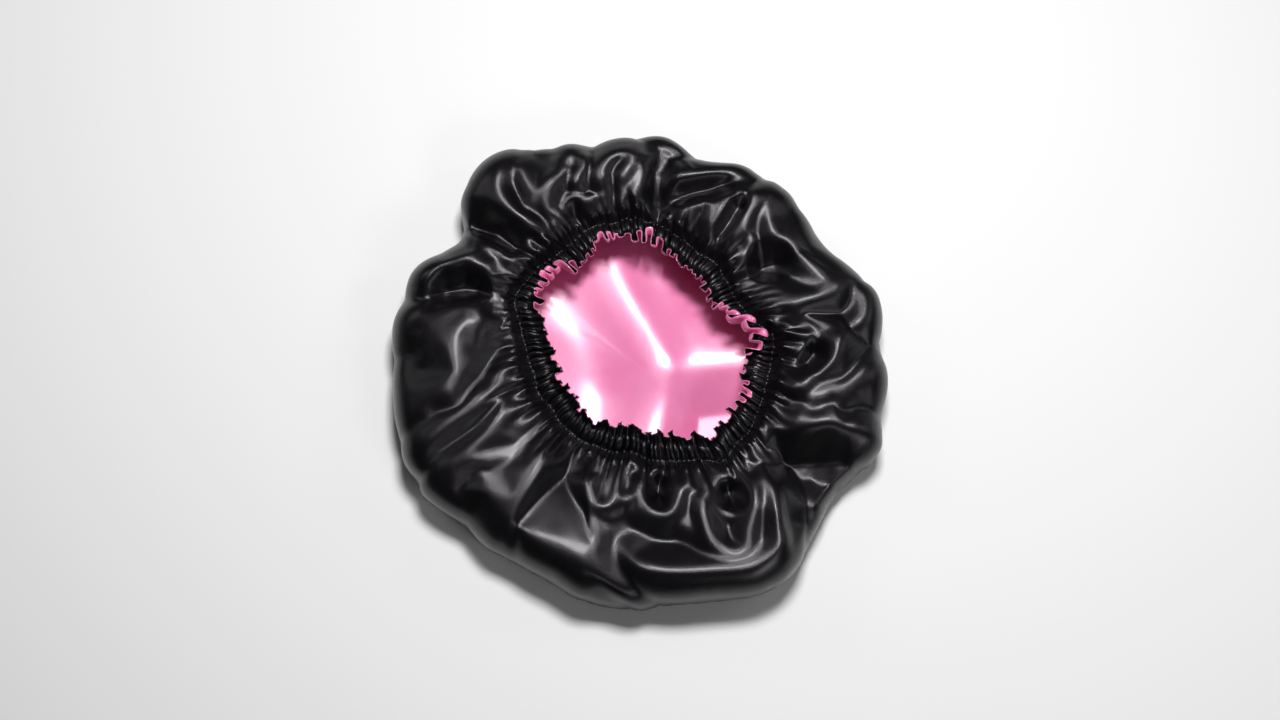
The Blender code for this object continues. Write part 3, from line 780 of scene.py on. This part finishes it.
@dataclass
class MiddleCloth:
    """The rings of points halfway between the two layers, from the frill's edge to the foot of the rim."""

    drape: Drape
    cut_radius: float = 0.290
    top_span: float = 0.078
    rim_span: float = 0.052
    frill_count: int = 5
    channel_count: int = 7
    top_count: int = 42
    rim_count: int = 12
    halvings: tuple[float, ...] = (0.06, 1.5)
    settling_frames: int = 24
    growth: float = 0.02
    smoothing: int = 5
    rings: list[Array] = field(default_factory=list)
    radii: list[float] = field(default_factory=list)
    reaches: list[float] = field(default_factory=list)

    def build(self) -> None:
        """Lay the rings out, and let the gathered top settle like cloth."""
        drape, angles = self.drape, self.drape.angles
        for index, row in enumerate(drape.frill_rows(self.frill_count)):
            self.add(row, self.cut_radius - drape.frill_width * index / self.frill_count, -1.0)
        casing_start = self.cut_radius - drape.frill_width
        for index in range(self.channel_count + 1):
            share = 1 - index / self.channel_count
            self.add(drape.channel(angles, share), casing_start - drape.channel_width * (1 - share), -share)
        top_start = self.radii[-1]
        for index in range(1, self.top_count):
            reach = (index / self.top_count) ** 1.12
            row, direction = drape.top_row(reach)
            height, swing = drape.pleats(angles, reach)
            height = height + drape.relief(row) * smooth_step(0.0, 0.08, np.array(reach))
            row = row + direction * height[:, None] + drape.sideways(angles) * swing[:, None]
            self.add(row, top_start - self.top_span * reach, reach)
        for index in range(self.rim_count + 1):
            share = index / self.rim_count
            row, direction = drape.rim_row(share)
            height = drape.relief(row) * (1 - smooth_step(0.30, 0.80, np.array(share)))
            self.add(row + direction * height[:, None], top_start - self.top_span - self.rim_span * share, 1.0 + share)
        self.settle()

    def add(self, row: Array, radius: float, reach: float) -> None:
        """Keep a ring, thinned where the cloth is smoother.

        Args:
            row: the ring's points.
            radius: its radius in the flat cut.
            reach: -1 in the frill, up to 0 in the casing, 1 at the rim's shoulder and 2 at its foot.
        """
        skip = 2 ** sum(reach > limit for limit in self.halvings)
        self.rings.append(row[::skip])
        self.radii.append(radius)
        self.reaches.append(reach)

    def smooth(self) -> None:
        """Ease the finest crinkles out of the top and the rim, and leave the valleys sharp."""
        for index, reach in enumerate(self.reaches):
            if reach <= 0.0 or len(self.rings[index - 1]) != len(self.rings[index]) or reach >= 2.0:
                continue
            ring, before, after = self.rings[index], self.rings[index - 1], self.rings[index + 1]
            if len(after) != len(ring):
                continue
            ways = np.roll(ring, 1, axis=0) + np.roll(ring, -1, axis=0)
            eased = (ways / 2 - ring) * 0.35 + ((before + after) / 2 - ring) * 0.15
            eased = eased * np.where(eased[:, 2:] > 0, 0.2, 1.0)
            self.rings[index] = ring + eased * min(1.0, 16 * reach)

    def settle(self) -> None:
        """Let the top and the rim settle as cloth that is a little too large for its place."""
        counts = [len(ring) for ring in self.rings]
        starts = [int(start) for start in np.cumsum([0] + counts[:-1])]
        mesh = bpy.data.meshes.new("settling_cloth")
        mesh.from_pydata(np.vstack(self.rings).tolist(), [], join_rows(starts, counts))
        mesh.update()
        piece = bpy.data.objects.new("settling_cloth", mesh)
        bpy.context.scene.collection.objects.link(piece)
        held = piece.vertex_groups.new(name="held")
        for start, count, reach in zip(starts, counts, self.reaches):
            ring = list(range(start, start + count))
            if reach <= 0.0 or reach > 1.85:
                hold = 1.0
            else:
                near, far = smooth_step(0.02, 0.16, np.array(reach)), smooth_step(0.85, 1.6, np.array(reach))
                hold = 0.04 + 0.80 * float(1 - near) + 0.36 * float(far)
            held.add(ring, hold, "REPLACE")
        cloth = piece.modifiers.new("cloth", "CLOTH")
        rules = cloth.settings
        rules.quality = 6
        rules.mass = 0.05
        rules.tension_stiffness = 30.0
        rules.compression_stiffness = 30.0
        rules.shear_stiffness = 12.0
        rules.bending_stiffness = 10.0
        rules.vertex_group_mass = held.name
        rules.pin_stiffness = 2.0
        rules.shrink_min = -self.growth
        rules.use_pressure = True
        rules.uniform_pressure_force = 0.3
        rules.effector_weights.gravity = 0.0
        cloth.collision_settings.use_collision = False
        scene = bpy.context.scene
        for frame_number in range(1, self.settling_frames + 1):
            scene.frame_set(frame_number)
        graph = bpy.context.evaluated_depsgraph_get()
        settled = piece.evaluated_get(graph).data
        found = np.empty(len(settled.vertices) * 3, np.float32)
        settled.vertices.foreach_get("co", found)
        found = found.reshape(-1, 3).astype(float)
        moved = np.linalg.norm(found - np.vstack(self.rings), axis=1)
        LOG.info("cloth settled: moved %.2f mm at most, %.2f mm on average", moved.max() * 1e3, moved.mean() * 1e3)
        self.rings = [found[start:start + count] for start, count in zip(starts, counts)]
        for _ in range(self.smoothing):
            self.smooth()
        bpy.data.objects.remove(piece)
        scene.frame_set(1)


def add_node(
    tree: bpy.types.NodeTree, kind: str, modes: dict[str, str], sockets: dict[str | int, object]
) -> bpy.types.Node:
    """Add a node to a tree.

    Args:
        tree: the tree.
        kind: the node's type.
        modes: its settings by name.
        sockets: for its inputs by name or number, an output socket to link or a plain value.

    Returns:
        The node.
    """
    made = tree.nodes.new(kind)
    for key, value in modes.items():
        setattr(made, key, value)
    for key, value in sockets.items():
        if isinstance(value, bpy.types.NodeSocket):
            tree.links.new(value, made.inputs[key])
        else:
            made.inputs[key].default_value = value
    return made


def new_material(name: str) -> tuple[bpy.types.Material, bpy.types.NodeTree, bpy.types.Node]:
    """Make a material with a plain shader, and return it with its tree and its shader."""
    material = bpy.data.materials.new(name)
    material.use_nodes = True
    return material, material.node_tree, material.node_tree.nodes["Principled BSDF"]


@dataclass(frozen=True)
class SatinFinish:
    """Satin in one colour: smooth floats of thread with a fine grain.

    The thread, twill and cloud scales are counts per metre of the flat cut.
    """

    name: str
    colour: tuple[float, float, float]
    shade: tuple[float, float, float]
    roughness: float
    sheen: float
    sheen_tint: tuple[float, float, float]
    specular: float
    coat: float
    coat_roughness: float
    grain: float
    thread_scale: tuple[float, float, float] = (650.0, 1000.0, 1.0)
    twill_scale: tuple[float, float, float] = (1500.0, 1500.0, 1.0)
    cloud_scale: float = 22.0
    grain_depth: float = 0.00012

    def build(self) -> bpy.types.Material:
        """Make the material, whose weave follows the cloth's flat cut.

        Returns:
            The material.
        """
        material, tree, shader = new_material(self.name)
        settings = {
            "Sheen Weight": self.sheen, "Sheen Roughness": 0.35, "Sheen Tint": (*self.sheen_tint, 1.0),
            "Specular IOR Level": self.specular, "Specular Tint": (*self.sheen_tint, 1.0),
            "Coat Weight": self.coat, "Coat Roughness": self.coat_roughness,
        }
        for key, value in settings.items():
            shader.inputs[key].default_value = value
        cut = add_node(tree, "ShaderNodeUVMap", {"uv_map": "cut"}, {}).outputs["UV"]

        threads = add_node(tree, "ShaderNodeMapping", {}, {"Vector": cut, "Scale": self.thread_scale})
        grain = add_node(
            tree, "ShaderNodeTexNoise", {}, {"Vector": threads.outputs["Vector"], "Scale": 1.0, "Detail": 3.0}
        )
        weave = add_node(
            tree, "ShaderNodeMapping", {},
            {"Vector": cut, "Rotation": (0.0, 0.0, math.radians(45)), "Scale": self.twill_scale},
        )
        twill = add_node(
            tree, "ShaderNodeTexWave", {}, {"Vector": weave.outputs["Vector"], "Scale": 1.0, "Distortion": 1.5}
        )
        relief = add_node(
            tree, "ShaderNodeMath", {"operation": "MULTIPLY_ADD"},
            {0: twill.outputs["Fac"], 1: 0.35, 2: grain.outputs["Fac"]},
        )
        bump = add_node(
            tree, "ShaderNodeBump", {},
            {"Height": relief.outputs["Value"], "Strength": self.grain, "Distance": self.grain_depth},
        )
        tree.links.new(bump.outputs["Normal"], shader.inputs["Normal"])

        cloud = add_node(tree, "ShaderNodeTexNoise", {}, {"Vector": cut, "Scale": self.cloud_scale, "Detail": 4.0})
        spread = add_node(
            tree, "ShaderNodeMapRange", {}, {"Value": cloud.outputs["Fac"], "From Min": 0.35, "From Max": 0.65}
        )
        colour = add_node(
            tree, "ShaderNodeMix", {"data_type": "RGBA"},
            {"Factor": spread.outputs["Result"], "A": (*self.shade, 1.0), "B": (*self.colour, 1.0)},
        )
        tree.links.new(colour.outputs["Result"], shader.inputs["Base Color"])

        rough = add_node(
            tree, "ShaderNodeMapRange", {},
            {"Value": grain.outputs["Fac"], "To Min": self.roughness * 0.85, "To Max": self.roughness * 1.15},
        )
        tree.links.new(rough.outputs["Result"], shader.inputs["Roughness"])
        return material


@dataclass(frozen=True)
class ThreadFinish:
    """Plain spun or braided thread, with a fine twist along it."""

    name: str
    colour: tuple[float, float, float]
    roughness: float
    twist: float

    def build(self) -> bpy.types.Material:
        """Make the material.

        Returns:
            The material.
        """
        material, tree, shader = new_material(self.name)
        shader.inputs["Roughness"].default_value = self.roughness
        shader.inputs["Specular IOR Level"].default_value = 0.15
        place = add_node(tree, "ShaderNodeTexCoord", {}, {}).outputs["Object"]
        fibre = add_node(tree, "ShaderNodeTexNoise", {}, {"Vector": place, "Scale": self.twist, "Detail": 2.0})
        ramp = add_node(
            tree, "ShaderNodeMix", {"data_type": "RGBA"},
            {
                "Factor": fibre.outputs["Fac"], "A": (*(0.7 * part for part in self.colour), 1.0),
                "B": (*self.colour, 1.0),
            },
        )
        tree.links.new(ramp.outputs["Result"], shader.inputs["Base Color"])
        bump = add_node(
            tree, "ShaderNodeBump", {}, {"Height": fibre.outputs["Fac"], "Strength": 0.5, "Distance": 0.0002}
        )
        tree.links.new(bump.outputs["Normal"], shader.inputs["Normal"])
        return material


BLACK_SATIN = SatinFinish(
    name="black_satin", colour=(0.0030, 0.0024, 0.0032), shade=(0.0018, 0.0015, 0.0020), roughness=0.29,
    sheen=0.0, sheen_tint=(0.96, 0.90, 0.97), specular=0.45, coat=0.14, coat_roughness=0.17, grain=0.42,
)
PINK_SATIN = SatinFinish(
    name="pink_satin", colour=(0.90, 0.27, 0.52), shade=(0.84, 0.20, 0.44), roughness=0.30,
    sheen=0.20, sheen_tint=(1.0, 0.80, 0.90), specular=0.8, coat=1.0, coat_roughness=0.14, grain=0.25,
)
BLACK_THREAD = ThreadFinish(name="black_thread", colour=(0.003, 0.003, 0.003), roughness=0.85, twist=2400.0)
WHITE_ELASTIC = ThreadFinish(name="white_elastic", colour=(0.78, 0.78, 0.75), roughness=0.8, twist=1800.0)


def join_rows(rows: list[int], counts: list[int]) -> list[tuple[int, ...]]:
    """List the faces between rings of vertices, where a ring has as many columns as the one before or half as many.

    Args:
        rows: index of each ring's first vertex.
        counts: number of vertices in each ring.

    Returns:
        The faces.
    """
    faces = []
    for first, second, count, following in zip(rows, rows[1:], counts, counts[1:]):
        if following == count:
            faces += [
                (first + i, second + i, second + (i + 1) % count, first + (i + 1) % count) for i in range(count)
            ]
            continue
        for i in range(following):
            a, b, c = first + 2 * i, first + 2 * i + 1, first + (2 * i + 2) % count
            near, beyond = second + i, second + (i + 1) % following
            faces += [(a, near, b), (b, near, beyond), (b, beyond, c)]
    return faces


@dataclass
class ClothLayer:
    """One layer of satin, from the frill's edge to the middle of the crown."""

    cloth: MiddleCloth
    name: str
    node: str
    finish: SatinFinish
    side: int
    thickness: float = 0.0004
    gap: float = 0.0002
    channel_lift: float = 0.00025

    def rings(self) -> tuple[list[Array], list[Array], list[float]]:
        """Work out the layer's rings where it faces the other layer.

        Returns:
            The rings' points, the lift of each point away from the other layer, and each ring's radius in the cut.
        """
        cloth = self.cloth
        lifts = []
        for ring, reach in zip(cloth.rings, cloth.reaches):
            lift = self.gap / 2
            if -1.0 < reach < 0.0:
                lift += math.sin(-math.pi * reach) ** 0.6 * self.channel_lift
            elif reach > 0.0:
                lift += self.slack(min(reach, 1.0)) * min(1.0, 2.0 - reach)
            lifts.append(np.full(len(ring), lift))
        return list(cloth.rings), lifts, list(cloth.radii)

    def slack(self, reach: float) -> float:
        """How much further the layer hangs away from the other one than their gap."""
        return 0.0

    def floor_rings(self, foot: Array) -> tuple[list[Array], list[float]]:
        """Work out the rings inside the foot.

        Args:
            foot: the rim's last ring.

        Returns:
            The rings' points, and each ring's share of the foot's radius.
        """
        ring = foot * 0.93
        ring[:, 2] = self.cloth.drape.floor
        return [ring], [0.93]

    def build(self) -> bpy.types.Object:
        """Build the layer with its wall, its cut coordinates and its finish.

        Returns:
            The finished piece.
        """
        points, lifts, radii = self.rings()
        inner, shares = self.floor_rings(points[-1])
        radii = radii + [radii[-1] * share for share in shares]
        lifts = lifts + [np.full(len(ring), self.gap / 2) for ring in inner]
        points = points + inner
        counts = [len(ring) for ring in points]
        starts = [int(start) for start in np.cumsum([0] + counts[:-1])]
        middle = points[-1].mean(axis=0, keepdims=True)
        faces = join_rows(starts, counts)
        tip, last = sum(counts), starts[-1]
        faces += [(last + i, tip, last + (i + 1) % counts[-1]) for i in range(counts[-1])]
        vertices, lift = np.vstack(points + [middle]), np.concatenate(lifts + [[self.gap / 2]])
        outward = self.cloth.drape.outward
        cut = [radius * outward(np.arange(count) * 360 / count)[:, :2] for radius, count in zip(radii, counts)]
        cut = np.vstack(cut + [np.zeros((1, 2))])
        mesh = bpy.data.meshes.new(self.name)
        mesh.from_pydata(vertices.tolist(), [], faces)
        mesh.update()
        normals = np.empty(len(vertices) * 3, np.float32)
        mesh.vertex_normals.foreach_get("vector", normals)
        normals = normals.reshape(-1, 3)
        if normals[starts[-1]][2] > 0:
            mesh.flip_normals()
            normals = -normals
        moved = vertices + normals * (lift * self.side)[:, None]
        mesh.vertices.foreach_set("co", moved.astype(np.float32).ravel())
        layer = mesh.uv_layers.new(name="cut")
        corners = np.empty(len(mesh.loops), np.int32)
        mesh.loops.foreach_get("vertex_index", corners)
        layer.data.foreach_set("uv", cut[corners].astype(np.float32).ravel())
        mesh.polygons.foreach_set("use_smooth", np.ones(len(mesh.polygons), bool))
        mesh.update()
        piece = bpy.data.objects.new(self.name, mesh)
        bpy.context.scene.collection.objects.link(piece)
        mesh.materials.append(self.finish.build())
        wall = piece.modifiers.new("wall", "SOLIDIFY")
        wall.thickness = self.thickness
        wall.offset = self.side
        make_plain(piece)
        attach(piece, "root")
        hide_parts(self.node)
        return piece


@dataclass
class SatinShell(ClothLayer):
    """The black satin, outside and underneath."""


@dataclass
class SatinLining(ClothLayer):
    """The pink satin, with its own wrinkles on the floor of the crown."""

    hem: float = 0.0010
    hidden_from: float = 0.4
    hang: float = 0.0016
    swell: float = 0.0012
    wrinkle_crest: float = 0.016

    def slack(self, reach: float) -> float:
        """How much further the lining hangs below the shell than their gap."""
        return self.hang * float(smooth_step(0.25, 0.50, np.array(reach)))

    def rings(self) -> tuple[list[Array], list[Array], list[float]]:
        """Lengthen the frill where it flips over, and thin the rings that the shell hides.

        Returns:
            The rings' points, the lift of each point away from the other layer, and each ring's radius in the cut.
        """
        points, lifts, radii = super().rings()
        along = points[0] - points[1]
        along /= np.linalg.norm(along, axis=1, keepdims=True)
        flip = self.cloth.drape.flip[:, None]
        over = np.cross(np.roll(points[0], -1, axis=0) - np.roll(points[0], 1, axis=0), along)
        over /= np.linalg.norm(over, axis=1, keepdims=True)
        points[0] = points[0] + along * self.hem * (0.12 + 0.6 * flip) + over * self.hem * 0.7 * flip
        reaches, hidden_from = self.cloth.reaches, self.hidden_from
        kept = [index for index, reach in enumerate(reaches) if reach < hidden_from or index % 2 == 0 or reach == 2.0]
        skips = [2 if reaches[index] > hidden_from else 1 for index in kept]
        return (
            [points[index][::skip] for index, skip in zip(kept, skips)],
            [lifts[index][::skip] for index, skip in zip(kept, skips)],
            [radii[index] for index in kept],
        )

    def floor_rings(self, foot: Array) -> tuple[list[Array], list[float]]:
        """Work out the rings of the wrinkled floor, with fewer columns towards the middle.

        Args:
            foot: the rim's last ring.

        Returns:
            The rings' points, and each ring's share of the foot's radius.
        """
        lines = [(wrinkle, smooth_path(np.array(wrinkle.path, float))) for wrinkle in WRINKLES]
        rings, shares = [], [0.97, 0.93, 0.88, 0.82, 0.76, 0.70] + np.linspace(0.65, 0.03, 50).tolist()
        for share in shares:
            skip = 1 if share > 0.30 else 2 if share > 0.12 else 4
            ring = foot[::skip] * share
            x, y = ring[:, 0], ring[:, 1]
            up = np.zeros(len(ring))
            for wrinkle, line in lines:
                strength = fold_field(x, y, line, wrinkle.left, wrinkle.right, self.wrinkle_crest, 0.12)
                up += (wrinkle.rise * strength) ** 3
            swell = self.swell * (1 + np.sin(38 * x + 21 * y) * np.cos(27 * y - 12 * x))
            edge = smooth_step(0.0, 0.12, np.array(1 - share))
            ring[:, 2] = self.cloth.drape.floor + (np.cbrt(up) + swell) * edge
            rings.append(ring)
        return rings, shares


def make_plain(piece: bpy.types.Object) -> None:
    """Turn a piece with live modifiers into a plain mesh.

    Args:
        piece: the piece.
    """
    graph = bpy.context.evaluated_depsgraph_get()
    mesh = bpy.data.meshes.new_from_object(piece.evaluated_get(graph), preserve_all_data_layers=True, depsgraph=graph)
    piece.modifiers.clear()
    old, piece.data = piece.data, mesh
    mesh.name = piece.name
    bpy.data.meshes.remove(old)


def loops_mesh(name: str, loops: list[Array]) -> bpy.types.Mesh:
    """Make a mesh of closed edge loops.

    Args:
        name: the mesh's name.
        loops: the points of each loop.

    Returns:
        The mesh.
    """
    mesh = bpy.data.meshes.new(name)
    edges, start = [], 0
    for loop in loops:
        count = len(loop)
        edges += [(start + i, start + (i + 1) % count) for i in range(count)]
        start += count
    mesh.from_pydata(np.vstack(loops).tolist(), edges, [])
    mesh.update()
    return mesh


class NodeTree:
    """A geometry node tree with named inputs, which ends in realised instances and a material."""

    def __init__(self, name: str, sizes: dict[str, float]) -> None:
        """Open the tree.

        Args:
            name: the tree's name.
            sizes: its named inputs and their values.
        """
        self.tree = bpy.data.node_groups.new(name, "GeometryNodeTree")
        self.sizes = sizes
        interface = self.tree.interface
        interface.new_socket("Geometry", in_out="INPUT", socket_type="NodeSocketGeometry")
        for key, value in sizes.items():
            socket = interface.new_socket(key, in_out="INPUT", socket_type="NodeSocketFloat")
            socket.default_value = value
        interface.new_socket("Geometry", in_out="OUTPUT", socket_type="NodeSocketGeometry")
        self.start = self.tree.nodes.new("NodeGroupInput")
        self.end = self.tree.nodes.new("NodeGroupOutput")

    def node(self, kind: str, sockets: dict[str | int, object], modes: dict[str, str] | None = None) -> bpy.types.Node:
        """Add a node with an output socket or a plain value for each named input, in the modes given."""
        return add_node(self.tree, kind, modes or {}, sockets)

    def close(self, geometry: bpy.types.NodeSocket, material: bpy.types.Material) -> None:
        """Realise the instances, set the material and end the tree.

        Args:
            geometry: what the tree has made.
            material: its material.
        """
        real = self.node("GeometryNodeRealizeInstances", {"Geometry": geometry})
        dressed = self.node("GeometryNodeSetMaterial", {"Geometry": real.outputs["Geometry"], "Material": material})
        self.tree.links.new(dressed.outputs["Geometry"], self.end.inputs["Geometry"])

    def apply(self, name: str, mesh: bpy.types.Mesh) -> bpy.types.Object:
        """Run the tree on a mesh.

        Args:
            name: the new piece's name.
            mesh: what the tree starts from.

        Returns:
            The piece, as a plain mesh.
        """
        piece = bpy.data.objects.new(name, mesh)
        bpy.context.scene.collection.objects.link(piece)
        modifier = piece.modifiers.new("nodes", "NODES")
        modifier.node_group = self.tree
        for item in self.tree.interface.items_tree:
            if item.item_type == "SOCKET" and item.in_out == "INPUT" and item.name in self.sizes:
                modifier[item.identifier] = self.sizes[item.name]
        make_plain(piece)
        return piece


@dataclass
class StitchRows:
    """The two rows of stitches that close the casing."""

    shell: SatinShell
    pitch: float = 0.0030
    length: float = 0.0022
    radius: float = 0.00014

    def build(self) -> bpy.types.Object:
        """Lay the stitches on the shell along both rows.

        Returns:
            The piece.
        """
        points = self.shell.rings()[0]
        cloth, drape = self.shell.cloth, self.shell.cloth.drape
        inner, outer = cloth.frill_count, cloth.frill_count + cloth.channel_count
        up = drape.across(drape.angles, np.full(drape.angles.shape, drape.channel_tilt + 8))
        lift = self.shell.gap / 2 + self.shell.thickness + self.radius * -0.2
        loops = [points[row] + up * lift for row in (inner, outer)]
        tree = NodeTree("stitch_rows", {"Pitch": self.pitch, "Length": self.length, "Radius": self.radius})
        sizes = tree.start.outputs
        line = tree.node("GeometryNodeMeshToCurve", {"Mesh": sizes["Geometry"]})
        spots = tree.node(
            "GeometryNodeCurveToPoints", {"Curve": line.outputs["Curve"], "Length": sizes["Pitch"]}, {"mode": "LENGTH"}
        )
        half = tree.node("ShaderNodeMath", {0: sizes["Length"], 1: 0.5}, {"operation": "MULTIPLY"})
        stitch = tree.node("GeometryNodeMeshUVSphere", {"Segments": 8, "Rings": 6, "Radius": 1.0})
        shape = tree.node(
            "ShaderNodeCombineXYZ", {"X": sizes["Radius"], "Y": sizes["Radius"], "Z": half.outputs["Value"]}
        )
        turn = tree.node("FunctionNodeAlignRotationToVector", {"Vector": spots.outputs["Tangent"]}, {"axis": "Z"})
        laid = tree.node(
            "GeometryNodeInstanceOnPoints",
            {
                "Points": spots.outputs["Points"], "Instance": stitch.outputs["Mesh"],
                "Scale": shape.outputs["Vector"], "Rotation": turn.outputs["Rotation"],
            },
        )
        tree.close(laid.outputs["Instances"], BLACK_THREAD.build())
        piece = tree.apply("casing_stitches", loops_mesh("stitch_lines", loops))
        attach(piece, "root")
        return piece


@dataclass
class ElasticBand:
    """The braided elastic in the casing, as cords side by side."""

    drape: Drape
    width: float = 0.0050
    cords: int = 9
    radius: float = 0.0002

    def build(self) -> bpy.types.Object:
        """Run the cords round the casing.

        Returns:
            The piece.
        """
        margin = (1 - self.width / self.drape.channel_width) / 2 + self.radius / self.drape.channel_width
        angles = self.drape.angles[::2]
        shares = np.linspace(margin, 1 - margin, self.cords)
        tree = NodeTree("elastic_cords", {"Cord Radius": self.radius})
        sizes = tree.start.outputs
        line = tree.node("GeometryNodeMeshToCurve", {"Mesh": sizes["Geometry"]})
        ring = tree.node("GeometryNodeCurvePrimitiveCircle", {"Resolution": 8, "Radius": sizes["Cord Radius"]})
        tube = tree.node(
            "GeometryNodeCurveToMesh", {"Curve": line.outputs["Curve"], "Profile Curve": ring.outputs["Curve"]}
        )
        tree.close(tube.outputs["Mesh"], WHITE_ELASTIC.build())
        loops = [self.drape.channel(angles, float(share)) for share in shares]
        piece = tree.apply("elastic_band_cords", loops_mesh("elastic_lines", loops))
        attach(piece, "root")
        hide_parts("elastic_band")
        return piece


@dataclass
class Studio:
    """The pale floor, the soft lights and the camera."""

    view: View = VIEW

    def build(self) -> None:
        """Set up everything that isn't part of the bonnet."""
        self.floor()
        self.world(0.03)
        self.light("top_softbox", (0.10, 0.42, 1.34), 0.36, 0.28, 18.5)
        self.light("near_right_softbox", (0.70, -0.85, 0.90), 0.45, 0.35, 2.2)
        self.light("right_softbox", (1.05, 0.30, 0.80), 0.45, 0.35, 1.0)
        self.light("left_softbox", (-0.95, 0.60, 0.80), 0.45, 0.35, 0.8)
        self.camera()
        bpy.context.scene.view_settings.view_transform = "Standard"

    def floor(self) -> None:
        """Lay the pale floor."""
        mesh = bpy.data.meshes.new("floor")
        mesh.from_pydata([(-6, -6, 0), (6, -6, 0), (6, 6, 0), (-6, 6, 0)], [], [(0, 1, 2, 3)])
        floor = bpy.data.objects.new("floor", mesh)
        bpy.context.scene.collection.objects.link(floor)
        material = bpy.data.materials.new("pale_floor")
        material.use_nodes = True
        shader = material.node_tree.nodes["Principled BSDF"]
        shader.inputs["Base Color"].default_value = (0.92, 0.92, 0.92, 1.0)
        shader.inputs["Roughness"].default_value = 0.9
        shader.inputs["Specular IOR Level"].default_value = 0.1
        mesh.materials.append(material)

    def world(self, strength: float) -> None:
        """Fill the room with even light."""
        world = bpy.data.worlds.new("studio")
        world.use_nodes = True
        sky = world.node_tree.nodes["Background"]
        sky.inputs["Color"].default_value = (1.0, 1.0, 1.0, 1.0)
        sky.inputs["Strength"].default_value = strength
        bpy.context.scene.world = world

    def light(self, name: str, place: tuple[float, float, float], width: float, depth: float, power: float) -> None:
        """Hang a soft light that faces the bonnet.

        Args:
            name: the light's name.
            place: where it hangs.
            width: its longer side.
            depth: its shorter side.
            power: its power in watts.
        """
        lamp = bpy.data.lights.new(name, "AREA")
        lamp.shape = "RECTANGLE"
        lamp.size = width
        lamp.size_y = depth
        lamp.energy = power
        item = bpy.data.objects.new(name, lamp)
        item.location = place
        item.rotation_euler = (Vector((0, 0, 0.02)) - Vector(place)).to_track_quat("-Z", "Y").to_euler()
        bpy.context.scene.collection.objects.link(item)

    def camera(self) -> None:
        """Place the camera."""
        lens = bpy.data.cameras.new("camera")
        lens.lens = 50.0
        lens.sensor_width = 36.0
        camera = bpy.data.objects.new("camera", lens)
        away = Vector(self.view.back()) * self.view.distance
        camera.location = Vector(self.view.aim) + away
        camera.rotation_euler = (-away).to_track_quat("-Z", "Y").to_euler()
        bpy.context.scene.collection.objects.link(camera)
        bpy.context.scene.camera = camera


def report(piece: bpy.types.Object) -> None:
    """Log a piece's name and size."""
    LOG.info("%s: %d triangles", piece.name, sum(len(face.vertices) - 2 for face in piece.data.polygons))


def main() -> None:
    """Build the bonnet and the studio round it."""
    logging.basicConfig(level=logging.INFO, format="%(name)s: %(message)s")
    drape = Drape()
    cloth = MiddleCloth(drape)
    cloth.build()
    shell = SatinShell(cloth, "satin_shell", "outer_shell", BLACK_SATIN, side=1)
    lining = SatinLining(cloth, "satin_lining", "lining", PINK_SATIN, side=-1)
    report(shell.build())
    report(lining.build())
    report(StitchRows(shell).build())
    report(ElasticBand(drape).build())
    Studio().build()


if __name__ == "__main__":
    main()
